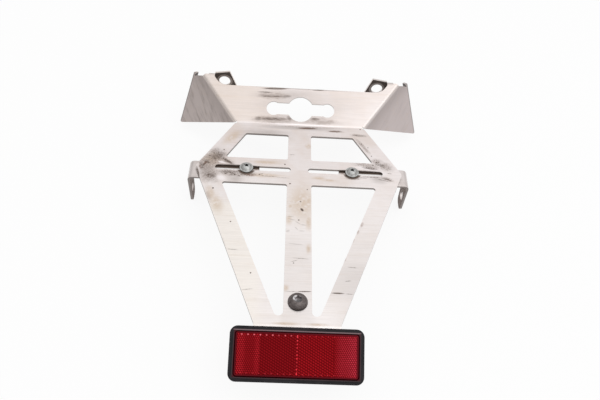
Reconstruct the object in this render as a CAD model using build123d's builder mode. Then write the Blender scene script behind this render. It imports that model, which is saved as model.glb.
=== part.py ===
"""Tail tidy: a folded stainless number-plate bracket for a motorbike.

X runs to the right, Y runs up the plate towards the flange, and Z points out of the plate's front face.
The origin lies on the front face, on the centre line, level with the two indicator slots.
"""

import os
from math import atan2, cos, degrees, radians, sin, tan

from build123d import *

os.makedirs("parts", exist_ok=True)

# Sheet
sheet = 2.0
bend_in = 2.5
bend_out = bend_in + sheet

# Lattice plate
fold_y = 59.3
fold_half = 61.0
side_half = 91.9
side_round = 6.0
taper = 0.4
arm_width = 16.4
bar_half = 10.5
window_round = 2.0
upper_window_top = 44.9
upper_window_low = 12.6
lower_window_top = -17.3
lower_window_round = 3.5
slot_in = 7.6
slot_out = 74.4
slot_high = 5.3

# Flange above the main fold, leaning out to the front
flange_angle = 30.0
flange_high = 37.0
corner_relief = 1.0
key_high = 16.0
key_eye = 25.0
key_bulb = 13.8
key_pitch = 51.6
key_neck = 11.8

# Wing folded back along a slanted line at each end of the flange
wing_angle = 45.0
wing_lean_x = 33.5
wing_lean_y = 46.3
wing_high = 47.4
wing_top = (11.4, 67.5)
wing_low = (59.6, 46.5)
lip_angle = 80.0
lip_wide = 4.0
lip_past = 1.2

# Ear turned down behind each raised corner of the flange, with its bolt hole
horn_high = 45.1
horn_round = 12.0
horn_in = 84.0
ear_edge = 1.5
ear_angle = 90.0 + flange_angle
ear_inner_top = (69.8, 24.9)
ear_outer_high = 22.7
ear_low = 2.2
ear_inner_low = 61.4
ear_round = 4.0
ear_hole = 11.0
ear_hole_at = (75.2, 13.8)

# Lower tab, folded back to carry the reflector upright
tab_angle = 28.0
tab_y = -152.5
tab_half = 26.0
tab_past = 11.25
tab_round = 5.0

# Indicator brackets
strip_in = 35.5
strip_out = 97.6
strip_wide = 19.6
strip_drop = 2.0
strip_screw_x = 46.9
strip_round = 1.5
lug_deep = 37.0
lug_tip = 14.0
lug_tip_round = 5.5
lug_hole = 10.2
lug_hole_deep = 22.0

# Fasteners, nominal thread sizes
m5 = 5.0
m5_hole = 5.5
m5_flange = 12.0
m5_flange_thick = 0.9
m5_dome = 9.4
m5_crown = 4.9
m5_head_high = 3.1
m5_key = 3.0
m5_key_deep = 1.6
m5_long = 12.0
m5_nut_flats = 8.0
m5_nut_high = 4.0
m5_washer = 10.0
m5_washer_thick = 1.0
m8 = 8.0
m8_hole = 8.6
m8_dome = 14.8
m8_crown = 6.6
m8_edge = 0.8
m8_head_high = 4.9
m8_key = 5.0
m8_key_deep = 2.6
m8_long = 14.0
m8_nut_flats = 13.0
m8_nut_high = 6.5
m8_washer = 16.0
m8_washer_thick = 1.6
thread_gap = 0.1
screw_point = 0.4
dome_steps = 5
plate_screw_up = 19.3

# Reflector
case_wide = 94.0
case_high = 37.5
case_deep = 8.0
case_round = 5.5
case_gap = 1.0
rim_step = 2.4
rim_drop = 1.0
pocket_deep = 4.2
lens_wide = 86.6
lens_high = 30.6
lens_round = 2.2
lens_gap = 0.15
lens_thick = 3.6
lens_edge = 0.5
stud_deep = 3.0
stud_long = 20.0

# The tab ends below the reflector's stud, and the dome-headed screw sits above the tab's fold
tab_long = case_gap + case_high / 2 + tab_past
plate_screw_y = tab_y + plate_screw_up

# Lengths that the folds take from the flat panels
fold_set = bend_in * tan(radians(flange_angle / 2))
wing_set = bend_out * tan(radians(wing_angle / 2))
lip_set = bend_out * tan(radians(lip_angle / 2))
tab_set = bend_out * tan(radians(tab_angle / 2))

# Planes of the folded panels, each on its panel's front face
plate_plane = Plane.XY
flange_plane = Plane(
    origin=(0, fold_y, 0),
    x_dir=(1, 0, 0),
    z_dir=(0, -sin(radians(flange_angle)), cos(radians(flange_angle))),
)
tab_plane = Plane(
    origin=(0, tab_y, 0),
    x_dir=(1, 0, 0),
    z_dir=(0, -sin(radians(tab_angle)), cos(radians(tab_angle))),
)

# The slanted fold of the right wing, as directions across and along it
lean = (wing_lean_x**2 + wing_lean_y**2) ** 0.5
along_x = wing_lean_x / lean
along_y = wing_lean_y / lean
front = flange_plane.z_dir
along = flange_plane.x_dir * along_x + flange_plane.y_dir * along_y
across = flange_plane.x_dir * along_y - flange_plane.y_dir * along_x
wing_front = front * cos(radians(wing_angle)) + across * sin(radians(wing_angle))
wing_across = across * cos(radians(wing_angle)) - front * sin(radians(wing_angle))
wing_foot = flange_plane.from_local_coords((fold_half, 0, 0))
wing_foot = Vector(wing_foot)
wing_plane = Plane(origin=wing_foot, x_dir=wing_across, z_dir=wing_front)

# The lip along the wing's outer edge
edge = Vector(wing_top[0] - wing_low[0], wing_top[1] - wing_low[1], 0)
edge_long = edge.length
edge_x = edge.X / edge_long
edge_y = edge.Y / edge_long
lip_run = wing_plane.x_dir * edge_x + wing_plane.y_dir * edge_y
lip_out = wing_plane.x_dir * edge_y - wing_plane.y_dir * edge_x
lip_foot = wing_foot + wing_plane.x_dir * wing_low[0] + wing_plane.y_dir * wing_low[1]
lip_across = lip_out * cos(radians(lip_angle)) - wing_front * sin(radians(lip_angle))
lip_front = wing_front * cos(radians(lip_angle)) + lip_out * sin(radians(lip_angle))
lip_plane = Plane(origin=lip_foot, x_dir=lip_across, z_dir=lip_front)

# The ear's bend stops short of the slanted fold, which runs on past it to the wing's top
horn_run = (horn_high - wing_set * along_x) / along_y
ear_out = fold_half + along_x * horn_run - along_y * wing_set - ear_edge
wing_run = (wing_high - wing_set * along_x) / along_y
wing_out = fold_half + along_x * wing_run - along_y * wing_set

# Outline of the plate
fold_slope = (side_half - fold_half) / fold_y
plate_top = fold_y - fold_set
plate_low = tab_y + tab_set
upper_reach = arm_width * (1 + fold_slope**2) ** 0.5
lower_reach = arm_width * (1 + taper**2) ** 0.5
tab_top_half = side_half + taper * plate_low


def upper_outer(y):
    """Half width of the plate above the side corners."""
    return side_half - fold_slope * y


def lower_outer(y):
    """Half width of the plate below the side corners."""
    return side_half + taper * y


def sector(radius_in, radius_out, start, turn):
    """Section of a bend, centred on the bend's axis."""
    inner = Edge.make_circle(radius_in, start_angle=start, end_angle=start + turn)
    outer = Edge.make_circle(radius_out, start_angle=start, end_angle=start + turn)
    near = Edge.make_line(inner @ 0, outer @ 0)
    far = Edge.make_line(inner @ 1, outer @ 1)
    return [inner, near, outer, far]


# Main bracket: one sheet, cut and folded
with BuildPart() as main_bracket:
    # Bend of the right wing
    wing_bend_run = wing_run - corner_relief
    wing_axis = wing_foot + along * corner_relief - across * wing_set - front * bend_out
    with BuildSketch(Plane(origin=wing_axis, x_dir=across, z_dir=along * -1)):
        make_face(sector(bend_in, bend_out, 90 - wing_angle, wing_angle))
    extrude(amount=-wing_bend_run)

    # Wing panel
    wing_edge_low = (wing_low[0] - edge_y * lip_set, wing_low[1] + edge_x * lip_set)
    wing_edge_top = (wing_top[0] - edge_y * lip_set, wing_top[1] + edge_x * lip_set)
    with BuildSketch(wing_plane) as wing_face:
        with BuildLine():
            Polyline(
                (wing_set, corner_relief),
                wing_edge_low,
                wing_edge_top,
                (wing_set, wing_run),
                close=True,
            )
        make_face()
    extrude(amount=-sheet)

    # Lip turned back along the wing's outer edge, running on past its top corner
    lip_axis = lip_foot - lip_out * lip_set - wing_front * bend_out
    lip_long = edge_long + lip_past
    with BuildSketch(Plane(origin=lip_axis, x_dir=lip_out, z_dir=lip_run * -1)):
        make_face(sector(bend_in, bend_out, 90 - lip_angle, lip_angle))
    extrude(amount=-lip_long)
    with BuildSketch(lip_plane):
        with Locations((lip_set + lip_wide / 2, lip_long / 2)):
            Rectangle(lip_wide, lip_long)
    extrude(amount=-sheet)

    # Bend at the top of the raised corner, then the ear that hangs from it
    ear_axis = flange_plane.from_local_coords((horn_in, horn_high, -bend_out))
    ear_axis = Vector(ear_axis)
    with BuildSketch(Plane(origin=ear_axis, x_dir=(0, 1, 0), z_dir=(1, 0, 0))):
        make_face(sector(bend_in, bend_out, 0, ear_angle))
    extrude(amount=ear_out - horn_in)
    ear_plane = Plane(origin=(0, ear_axis.Y + bend_in, 0), x_dir=(1, 0, 0), z_dir=(0, -1, 0))
    with BuildSketch(ear_plane):
        with BuildLine():
            Polyline(
                ear_inner_top,
                (horn_in, ear_outer_high),
                (horn_in, ear_axis.Z),
                (ear_out, ear_axis.Z),
                (ear_out, ear_low),
                (ear_inner_low, ear_low),
                close=True,
            )
        make_face()
        ear_corners = vertices().filter_by(lambda v: v.Y < ear_low + 0.1)
        fillet(ear_corners, ear_round)
        with Locations(ear_hole_at):
            Circle(ear_hole / 2, mode=Mode.SUBTRACT)
    extrude(amount=-sheet)

    # The left wing, lip and ear match the right ones
    mirror(about=Plane.YZ)

    # Flange with its raised corners
    with BuildSketch(flange_plane):
        horn_foot = horn_in - along_x / along_y * (horn_high - flange_high)
        fold_end = fold_half + along_x * corner_relief - along_y * wing_set
        fold_end_high = along_y * corner_relief + along_x * wing_set
        with BuildLine():
            Polyline(
                (-fold_half + corner_relief, fold_set),
                (fold_half - corner_relief, fold_set),
                (fold_end, fold_end_high),
                (wing_out, wing_high),
                (ear_out, wing_high),
                (ear_out, horn_high),
                (horn_in, horn_high),
                (horn_foot, flange_high),
                (-horn_foot, flange_high),
                (-horn_in, horn_high),
                (-ear_out, horn_high),
                (-ear_out, wing_high),
                (-wing_out, wing_high),
                (-fold_end, fold_end_high),
                close=True,
            )
        make_face()
        horn_feet = vertices().filter_by(
            lambda v: abs(abs(v.X) - horn_foot) < 0.01
        )
        fillet(horn_feet, horn_round)
        with Locations((0, key_high)):
            Circle(key_eye / 2, mode=Mode.SUBTRACT)
            Rectangle(key_pitch, key_neck, mode=Mode.SUBTRACT)
        with Locations((-key_pitch / 2, key_high), (key_pitch / 2, key_high)):
            Circle(key_bulb / 2, mode=Mode.SUBTRACT)
    extrude(amount=-sheet)

    # Main fold
    fold_axis = (corner_relief - fold_half, plate_top, bend_in)
    with BuildSketch(Plane(origin=fold_axis, x_dir=(0, 1, 0), z_dir=(1, 0, 0))):
        make_face(sector(bend_in, bend_out, -90, flange_angle))
    extrude(amount=2 * (fold_half - corner_relief))

    # Lattice plate
    with BuildSketch(plate_plane):
        relief_y = plate_top - corner_relief
        with BuildLine():
            Polyline(
                (fold_half - corner_relief, plate_top),
                (upper_outer(relief_y), relief_y),
                (side_half, 0),
                (tab_top_half, plate_low),
                (-tab_top_half, plate_low),
                (-side_half, 0),
                (-upper_outer(relief_y), relief_y),
                (corner_relief - fold_half, plate_top),
                close=True,
            )
        make_face()
        side_corners = vertices().filter_by(lambda v: abs(v.Y) < 0.01)
        fillet(side_corners, side_round)
    extrude(amount=-sheet)

    # Upper windows
    with BuildSketch(plate_plane) as upper_windows:
        with BuildLine():
            Polyline(
                (bar_half, upper_window_top),
                (upper_outer(upper_window_top) - upper_reach, upper_window_top),
                (upper_outer(upper_window_low) - upper_reach, upper_window_low),
                (bar_half, upper_window_low),
                close=True,
            )
        make_face()
        fillet(vertices(), window_round)
        mirror(about=Plane.YZ)
    extrude(amount=-sheet, mode=Mode.SUBTRACT)

    # Lower windows, running down to a rounded point
    with BuildSketch(plate_plane) as lower_windows:
        point_y = -(side_half - lower_reach - bar_half) / taper
        with BuildLine():
            Polyline(
                (bar_half, lower_window_top),
                (lower_outer(lower_window_top) - lower_reach, lower_window_top),
                (bar_half, point_y),
                close=True,
            )
        make_face()
        window_corners = vertices().filter_by(lambda v: v.Y > point_y + 1)
        fillet(window_corners, window_round)
        window_point = vertices().sort_by(Axis.Y)[0]
        fillet(window_point, lower_window_round)
        mirror(about=Plane.YZ)
    extrude(amount=-sheet, mode=Mode.SUBTRACT)

    # Indicator slots and the hole for the dome-headed screw
    slot_mid = (slot_in + slot_out) / 2
    with BuildSketch(plate_plane):
        with Locations((slot_mid, 0), (-slot_mid, 0)):
            SlotOverall(slot_out - slot_in, slot_high)
        with Locations((0, plate_screw_y)):
            Circle(m8_hole / 2)
    extrude(amount=-sheet, mode=Mode.SUBTRACT)

    # Fold below the plate, then the tab behind the reflector
    tab_axis = (-tab_top_half, plate_low, -bend_out)
    with BuildSketch(Plane(origin=tab_axis, x_dir=(0, 1, 0), z_dir=(1, 0, 0))):
        make_face(sector(bend_in, bend_out, 90, tab_angle))
    extrude(amount=2 * tab_top_half)
    case_mid = -case_gap - case_high / 2
    with BuildSketch(tab_plane):
        with BuildLine():
            Polyline(
                (tab_top_half, -tab_set),
                (tab_half, -tab_long),
                (-tab_half, -tab_long),
                (-tab_top_half, -tab_set),
                close=True,
            )
        make_face()
        tab_corners = vertices().sort_by(Axis.Y)[:2]
        fillet(tab_corners, tab_round)
        with Locations((0, case_mid)):
            Circle(m5_hole / 2, mode=Mode.SUBTRACT)
    extrude(amount=-sheet)
main_bracket.part.label = "main_bracket"
export_step(main_bracket.part, "parts/main_bracket.step")

# Indicator bracket, right: a strip behind the slot, turned back at its end
strip_front = -sheet
strip_back = strip_front - sheet
strip_flat_end = strip_out - bend_out
lug_top = strip_front - bend_out
lug_end = strip_front - lug_deep
lug_hole_z = strip_front - lug_hole_deep
with BuildPart() as indicator_bracket_right:
    with BuildSketch(Plane.XY.offset(strip_front)):
        with Locations(((strip_in + strip_flat_end) / 2, -strip_drop)):
            Rectangle(strip_flat_end - strip_in, strip_wide)
        inner_corners = vertices().sort_by(Axis.X)[:2]
        fillet(inner_corners, strip_round)
        with Locations((strip_screw_x, 0)):
            Circle(m5_hole / 2, mode=Mode.SUBTRACT)
    extrude(amount=-sheet)
    lug_axis = (strip_flat_end, -strip_drop + strip_wide / 2, lug_top)
    with BuildSketch(Plane(origin=lug_axis, x_dir=(1, 0, 0), z_dir=(0, -1, 0))):
        make_face(sector(bend_in, bend_out, 0, 90))
    extrude(amount=strip_wide)
    with BuildSketch(Plane(origin=(strip_out, -strip_drop, 0), x_dir=(0, 1, 0), z_dir=(1, 0, 0))):
        with BuildLine():
            Polyline(
                (-strip_wide / 2, lug_top),
                (strip_wide / 2, lug_top),
                (lug_tip / 2, lug_end),
                (-lug_tip / 2, lug_end),
                close=True,
            )
        make_face()
        tip_corners = vertices().sort_by(Axis.Y)[:2]
        fillet(tip_corners, lug_tip_round)
        with Locations((0, lug_hole_z)):
            Circle(lug_hole / 2, mode=Mode.SUBTRACT)
    extrude(amount=-sheet)
indicator_bracket_right.part.label = "indicator_bracket_right"
export_step(indicator_bracket_right.part, "parts/indicator_bracket_right.step")

# Indicator bracket, left
with BuildPart() as indicator_bracket_left:
    mirror(indicator_bracket_right.part, about=Plane.YZ)
indicator_bracket_left.part.label = "indicator_bracket_left"
export_step(indicator_bracket_left.part, "parts/indicator_bracket_left.step")


def dome_profile(shank, dome, crown, head_high, length, skirt, skirt_thick):
    """Half section of a button-head screw, with its head seated on the plate."""
    rise = head_high - skirt_thick
    centre = ((crown / 2) ** 2 + rise**2 - (dome / 2) ** 2) / (2 * rise)
    radius = ((dome / 2) ** 2 + centre**2) ** 0.5
    low = degrees(atan2(-centre, dome / 2))
    high = degrees(atan2(rise - centre, crown / 2))
    turns = [radians(low + (high - low) * step / dome_steps) for step in range(dome_steps + 1)]
    crest = [(radius * cos(a), skirt_thick + centre + radius * sin(a)) for a in turns]
    corners = [
        (0, head_high),
        (0, -length),
        (shank / 2 - screw_point, -length),
        (shank / 2, screw_point - length),
        (shank / 2, 0),
        (skirt / 2, 0),
        (skirt / 2, skirt_thick),
    ]
    if skirt == dome:
        corners = corners[:-1]
    return Wire.make_polygon([*corners, *crest], close=True).edges()


# Slot screw, right: flanged button head with a hexagon socket
with BuildPart() as slot_screw_right:
    with BuildSketch(Plane.XZ):
        make_face(dome_profile(
            m5, m5_dome, m5_crown, m5_head_high, m5_long, m5_flange, m5_flange_thick
        ))
    revolve(axis=Axis.Z)
    with BuildSketch(Plane.XY.offset(m5_head_high)):
        RegularPolygon(m5_key / 2, 6, major_radius=False)
    extrude(amount=-m5_key_deep, mode=Mode.SUBTRACT)
slot_screw_right.part.label = "slot_screw_right"
slot_screw_right.part.locate(Location((strip_screw_x, 0, 0)))
export_step(slot_screw_right.part, "parts/slot_screw_right.step")

# Slot screw, left
with BuildPart() as slot_screw_left:
    mirror(slot_screw_right.part, about=Plane.YZ)
slot_screw_left.part.label = "slot_screw_left"
export_step(slot_screw_left.part, "parts/slot_screw_left.step")

# Washers behind the strips
slot_washer_top = strip_back
with BuildPart() as slot_washer_right:
    with BuildSketch(Plane.XY.offset(slot_washer_top)):
        with Locations((strip_screw_x, 0)):
            Circle(m5_washer / 2)
            Circle(m5_hole / 2, mode=Mode.SUBTRACT)
    extrude(amount=-m5_washer_thick)
slot_washer_right.part.label = "slot_washer_right"
export_step(slot_washer_right.part, "parts/slot_washer_right.step")

with BuildPart() as slot_washer_left:
    mirror(slot_washer_right.part, about=Plane.YZ)
slot_washer_left.part.label = "slot_washer_left"
export_step(slot_washer_left.part, "parts/slot_washer_left.step")

# Nuts behind the washers
slot_nut_top = slot_washer_top - m5_washer_thick
with BuildPart() as slot_nut_right:
    with BuildSketch(Plane.XY.offset(slot_nut_top)):
        with Locations((strip_screw_x, 0)):
            RegularPolygon(m5_nut_flats / 2, 6, major_radius=False)
            Circle(m5 / 2 + thread_gap, mode=Mode.SUBTRACT)
    extrude(amount=-m5_nut_high)
slot_nut_right.part.label = "slot_nut_right"
export_step(slot_nut_right.part, "parts/slot_nut_right.step")

with BuildPart() as slot_nut_left:
    mirror(slot_nut_right.part, about=Plane.YZ)
slot_nut_left.part.label = "slot_nut_left"
export_step(slot_nut_left.part, "parts/slot_nut_left.step")

# Dome-headed screw on the central bar
with BuildPart() as plate_screw:
    with BuildSketch(Plane.XZ):
        make_face(dome_profile(
            m8, m8_dome, m8_crown, m8_head_high, m8_long, m8_dome, m8_edge
        ))
    revolve(axis=Axis.Z)
    with BuildSketch(Plane.XY.offset(m8_head_high)):
        RegularPolygon(m8_key / 2, 6, major_radius=False)
    extrude(amount=-m8_key_deep, mode=Mode.SUBTRACT)
plate_screw.part.label = "plate_screw"
plate_screw.part.locate(Location((0, plate_screw_y, 0)))
export_step(plate_screw.part, "parts/plate_screw.step")

with BuildPart() as plate_washer:
    with BuildSketch(Plane.XY.offset(-sheet)):
        with Locations((0, plate_screw_y)):
            Circle(m8_washer / 2)
            Circle(m8_hole / 2, mode=Mode.SUBTRACT)
    extrude(amount=-m8_washer_thick)
plate_washer.part.label = "plate_washer"
export_step(plate_washer.part, "parts/plate_washer.step")

with BuildPart() as plate_nut:
    with BuildSketch(Plane.XY.offset(-sheet - m8_washer_thick)):
        with Locations((0, plate_screw_y)):
            RegularPolygon(m8_nut_flats / 2, 6, major_radius=False)
            Circle(m8 / 2 + thread_gap, mode=Mode.SUBTRACT)
    extrude(amount=-m8_nut_high)
plate_nut.part.label = "plate_nut"
export_step(plate_nut.part, "parts/plate_nut.step")

# Reflector housing: a tray with a stepped rim, seated on the lower tab
case_plane = tab_plane.offset(case_deep)
with BuildPart() as reflector_housing:
    with BuildSketch(tab_plane):
        with Locations((0, case_mid)):
            RectangleRounded(case_wide, case_high, case_round)
    extrude(amount=case_deep - rim_drop)
    with BuildSketch(tab_plane.offset(case_deep - rim_drop)):
        with Locations((0, case_mid)):
            RectangleRounded(
                case_wide - 2 * rim_step, case_high - 2 * rim_step, case_round - rim_step
            )
    extrude(amount=rim_drop)
    with BuildSketch(case_plane):
        with Locations((0, case_mid)):
            RectangleRounded(
                lens_wide + 2 * lens_gap, lens_high + 2 * lens_gap, lens_round + lens_gap
            )
    extrude(amount=-pocket_deep, mode=Mode.SUBTRACT)
    with BuildSketch(tab_plane):
        with Locations((0, case_mid)):
            Circle(m5 / 2 + thread_gap)
    extrude(amount=stud_deep, mode=Mode.SUBTRACT)
reflector_housing.part.label = "reflector_housing"
export_step(reflector_housing.part, "parts/reflector_housing.step")

# Red lens, resting on the floor of the tray with its edges eased
with BuildPart() as reflector_lens:
    with BuildSketch(case_plane.offset(-pocket_deep)):
        with Locations((0, case_mid)):
            RectangleRounded(lens_wide, lens_high, lens_round)
    extrude(amount=lens_thick)
    lens_rim = faces().sort_by(Axis(case_plane.origin, case_plane.z_dir))[-1].edges()
    chamfer(lens_rim, lens_edge)
reflector_lens.part.label = "reflector_lens"
export_step(reflector_lens.part, "parts/reflector_lens.step")

# Stud, washer and nut that hold the reflector
with BuildPart() as reflector_stud:
    with BuildSketch(tab_plane.offset(stud_deep)):
        with Locations((0, case_mid)):
            Circle(m5 / 2)
    extrude(amount=-stud_deep - stud_long)
    stud_tip = faces().sort_by(Axis(tab_plane.origin, tab_plane.z_dir))[0].edges()
    chamfer(stud_tip, screw_point)
reflector_stud.part.label = "reflector_stud"
export_step(reflector_stud.part, "parts/reflector_stud.step")

with BuildPart() as reflector_washer:
    with BuildSketch(tab_plane.offset(-sheet)):
        with Locations((0, case_mid)):
            Circle(m5_washer / 2)
            Circle(m5_hole / 2, mode=Mode.SUBTRACT)
    extrude(amount=-m5_washer_thick)
reflector_washer.part.label = "reflector_washer"
export_step(reflector_washer.part, "parts/reflector_washer.step")

with BuildPart() as reflector_nut:
    with BuildSketch(tab_plane.offset(-sheet - m5_washer_thick)):
        with Locations((0, case_mid)):
            RegularPolygon(m5_nut_flats / 2, 6, major_radius=False)
            Circle(m5 / 2 + thread_gap, mode=Mode.SUBTRACT)
    extrude(amount=-m5_nut_high)
reflector_nut.part.label = "reflector_nut"
export_step(reflector_nut.part, "parts/reflector_nut.step")
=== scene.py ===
# %% [markdown]
# Tail tidy: a folded stainless number-plate bracket with indicator brackets and a red reflector.
# The imported model comes in as a fixed frame, in metres. Every piece below is placed from that frame, so
# the dressed model and the solids stay in step. The start-up objects go first, because they are not part
# of the bracket, and the box of the solids is kept.

# %% Load the frame
from math import asin, cos, pi, radians, sin, sqrt, tau

import bmesh
import bpy
from mathutils import Matrix, Vector


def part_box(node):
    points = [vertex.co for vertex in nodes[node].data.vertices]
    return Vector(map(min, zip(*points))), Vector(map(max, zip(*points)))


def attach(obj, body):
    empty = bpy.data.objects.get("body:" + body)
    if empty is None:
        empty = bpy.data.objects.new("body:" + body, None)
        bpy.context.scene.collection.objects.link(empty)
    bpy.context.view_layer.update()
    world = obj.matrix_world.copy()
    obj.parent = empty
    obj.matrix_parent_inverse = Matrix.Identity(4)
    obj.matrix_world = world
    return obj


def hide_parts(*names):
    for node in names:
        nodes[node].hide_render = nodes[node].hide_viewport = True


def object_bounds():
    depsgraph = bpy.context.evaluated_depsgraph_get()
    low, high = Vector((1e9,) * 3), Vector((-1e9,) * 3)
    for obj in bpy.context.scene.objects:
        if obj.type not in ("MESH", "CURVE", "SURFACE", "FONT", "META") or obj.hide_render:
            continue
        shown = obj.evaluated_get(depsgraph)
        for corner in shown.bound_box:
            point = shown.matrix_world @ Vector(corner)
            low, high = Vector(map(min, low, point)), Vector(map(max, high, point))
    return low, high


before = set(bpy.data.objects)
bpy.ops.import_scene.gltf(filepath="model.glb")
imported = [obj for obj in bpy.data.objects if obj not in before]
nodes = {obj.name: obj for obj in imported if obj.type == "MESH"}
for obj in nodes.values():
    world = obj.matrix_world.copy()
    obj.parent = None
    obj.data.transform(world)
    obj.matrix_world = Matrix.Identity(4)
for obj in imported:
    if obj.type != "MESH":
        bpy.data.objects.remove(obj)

for spare in ("Cube", "Light", "Camera"):
    if spare in bpy.data.objects:
        bpy.data.objects.remove(bpy.data.objects[spare])

scene = bpy.context.scene
cad_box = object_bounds()
mm = 0.001
print("solids", len(nodes), "box in mm", [round(v / mm) for v in cad_box[1] - cad_box[0]])

# %% [markdown]
# The photograph looks down on the bracket from its lower end, a little from the left.
# The camera could be fitted by eye, but the corners of the plate fix its place, turn and lens well,
# so those values are written here as they were measured. Shift and depth of field stay off.

# %% Camera
camera_place = (-0.01799, -0.34339, 0.35933)
camera_turn = (40.5995, -3.4056, 0.4729)
camera_lens = 33.6
film_width = 36.0

camera_data = bpy.data.cameras.new("photo_camera")
camera_data.lens = camera_lens
camera_data.sensor_width = film_width
camera_data.clip_start = 0.01
camera = bpy.data.objects.new("photo_camera", camera_data)
camera.location = camera_place
camera.rotation_euler = [radians(turn) for turn in camera_turn]
scene.collection.objects.link(camera)
scene.camera = camera
scene.view_settings.view_transform = "Standard"
print("camera", camera_lens, "mm lens")

# %% [markdown]
# Every finish below is a small network of nodes, so a few helpers keep the cells short.
# Each one adds a node to the tree that its input comes from and gives back the output: sums, soft steps,
# noise, distances and colour mixes are what worn metal and plastic are made of.
# Finishes are worked out in millimetres.

# %% Node helpers
def is_socket(value):
    """Whether a value comes from a node, and isn't a plain number or colour."""
    return isinstance(value, bpy.types.NodeSocket)


def tree_of(*values):
    """The tree that the first socket among some values is in."""
    return next(value.id_data for value in values if is_socket(value))


def wire(node, sockets):
    """Wires or sets the inputs of a node."""
    for name, value in sockets.items():
        if is_socket(value):
            node.id_data.links.new(value, node.inputs[name])
        else:
            node.inputs[name].default_value = value


def add(tree, kind, sockets=None, **settings):
    """Adds a node, sets its options, and wires or sets its inputs."""
    node = tree.nodes.new(kind)
    for name, value in settings.items():
        setattr(node, name, value)
    wire(node, sockets or {})
    return node


def maths(operation, *values, clamp=False):
    """One sum, with plain numbers or other nodes as its terms."""
    terms = dict(enumerate(values))
    return add(tree_of(*values), "ShaderNodeMath", terms, operation=operation, use_clamp=clamp).outputs[0]


def scaled(value, factor, shift):
    """A value times a factor, and shifted."""
    return maths("MULTIPLY_ADD", value, factor, shift)


def times(first, *others):
    """Where masks overlap, or a share of a mask."""
    for other in others:
        first = maths("MULTIPLY", first, other)
    return first


def most(first, *others):
    """Where any of some masks lies."""
    for other in others:
        first = maths("MAXIMUM", first, other)
    return first


def vectors(operation, first, second):
    """One sum of two vectors."""
    return add(first.id_data, "ShaderNodeVectorMath", {0: first, 1: second}, operation=operation).outputs


def stretched(vector, factors):
    """The same coordinates, stretched along each axis."""
    return vectors("MULTIPLY", vector, factors)[0]


def dotted(vector, direction):
    """How far a place lies along a direction."""
    return vectors("DOT_PRODUCT", vector, direction)["Value"]


def away(vector, other):
    """How far two places lie apart."""
    return vectors("DISTANCE", vector, other)["Value"]


def parts(vector):
    """The three parts of a vector."""
    return add(vector.id_data, "ShaderNodeSeparateXYZ", {0: vector}).outputs


def joined(x, y, z=0.0):
    """A vector made from its parts."""
    return add(tree_of(x, y), "ShaderNodeCombineXYZ", {0: x, 1: y, 2: z}).outputs[0]


def step(value, start, end):
    """A soft step from 0 at start to 1 at end, in either direction."""
    sockets = {"Value": value, "From Min": start, "From Max": end}
    return add(value.id_data, "ShaderNodeMapRange", sockets, interpolation_type="SMOOTHSTEP").outputs[0]


def noise(vector, scale, detail=4.0, roughness=0.6):
    """Cloudy noise between 0 and 1."""
    sockets = {"Vector": vector, "Scale": scale, "Detail": detail, "Roughness": roughness}
    return add(vector.id_data, "ShaderNodeTexNoise", sockets).outputs["Fac"]


def tint(factor, below, above):
    """A mix of two colours."""
    below, above = (colour if is_socket(colour) else (*colour, 1.0) for colour in (below, above))
    sockets = {0: factor, 6: below, 7: above}
    return add(factor.id_data, "ShaderNodeMix", sockets, data_type="RGBA").outputs[2]


def new_finish(name):
    """An empty finish: its material, its shader, places in millimetres, and the facing of the surface."""
    material = bpy.data.materials.new(name)
    material.use_nodes = True
    tree = material.node_tree
    place = add(tree, "ShaderNodeTexCoord").outputs
    sockets = {0: place["Object"], "Scale": 1 / mm}
    spot = add(tree, "ShaderNodeVectorMath", sockets, operation="SCALE").outputs[0]
    return material, tree.nodes["Principled BSDF"], spot, place["Normal"]


def bumped(shader, height, depth, strength):
    """Gives the shader a fine relief of that depth."""
    sockets = {"Height": height, "Strength": strength, "Distance": depth}
    wire(shader, {"Normal": add(height.id_data, "ShaderNodeBump", sockets).outputs[0]})


print("helpers ready")

# %% [markdown]
# The bracket lies on a plain pale table under soft light from above.
# A photograph of bare metal is mostly a picture of what the metal reflects, so the sky is a smooth
# gradient, bright overhead and dimmer at the sides, and a little brighter on the right.
# One large soft lamp stands to the front right, where the plate doesn't mirror it into the camera.
# The table is white paper: seen by the camera or in the metal it glows a little, so that it looks white,
# and the rest of it is lit as it stands, so that it keeps the bracket's shadow.

# %% Table and light
table_gap = 0.1 * mm
table_half = 3.0
table_colour = (0.93, 0.93, 0.93)
white = (1, 1, 1, 1)
table_glow = 0.88
sky_low = 0.5
sky_high = 1.08
sky_tilt = 0.16
lamp_place = (0.7, -0.55, 1.3)
lamp_wide = 1.2
lamp_power = 2.9

bpy.ops.mesh.primitive_plane_add(size=2 * table_half, location=(0, 0, cad_box[0].z - table_gap))
table = bpy.context.object
table.name = "table"
table_finish, shader, spot, _ = new_finish("pale_table")
table_tone = tint(noise(spot, 0.004, 2.0), table_colour, [0.985 * c for c in table_colour])
wire(shader, {"Base Color": table_tone, "Roughness": 0.8, "Specular IOR Level": 0.1})
tree = table_finish.node_tree
rays = add(tree, "ShaderNodeLightPath").outputs
seen = most(rays["Is Camera Ray"], rays["Is Glossy Ray"], rays["Is Transmission Ray"])
paper = add(tree, "ShaderNodeEmission", {"Color": white, "Strength": 1.0}).outputs[0]
surface = {0: times(seen, table_glow), 1: shader.outputs[0], 2: paper}
surface = add(tree, "ShaderNodeMixShader", surface).outputs[0]
wire(tree.nodes["Material Output"], {"Surface": surface})
table.data.materials.append(table_finish)

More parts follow.
